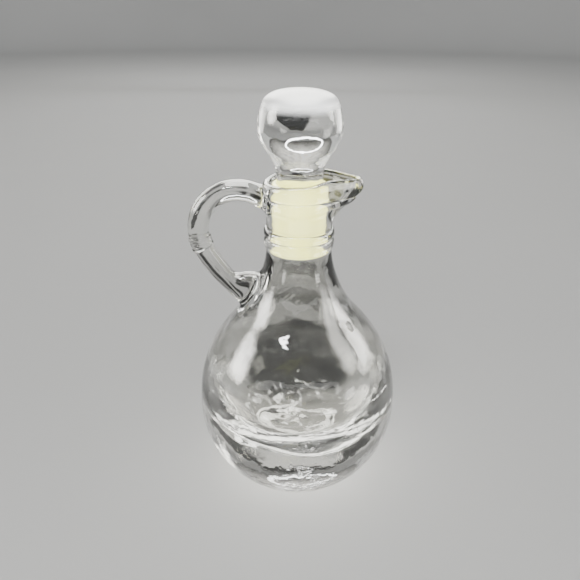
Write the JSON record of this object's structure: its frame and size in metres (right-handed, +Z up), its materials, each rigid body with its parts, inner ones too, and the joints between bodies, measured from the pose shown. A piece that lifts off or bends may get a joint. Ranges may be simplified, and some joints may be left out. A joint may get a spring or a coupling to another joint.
{
  "type": "glass cruet",
  "caption": "Clear glass cruet with a round belly, drawn spout, looped side handle and a ball stopper seated in a pale plastic sleeve.",
  "frame": {"origin": "middle of the whole object's footprint, on the surface it stands on", "axes": "+Z up, +X towards the spout, -X towards the handle"},
  "size_m": [0.0839, 0.082, 0.1612],
  "materials": {
    "glass": "clear",
    "plastic": "satin, slightly see-through"
  },
  "bodies": {
    "root": {"bottle": "glass", "stopper": "glass", "sleeve": "plastic"}
  },
  "joints": []
}
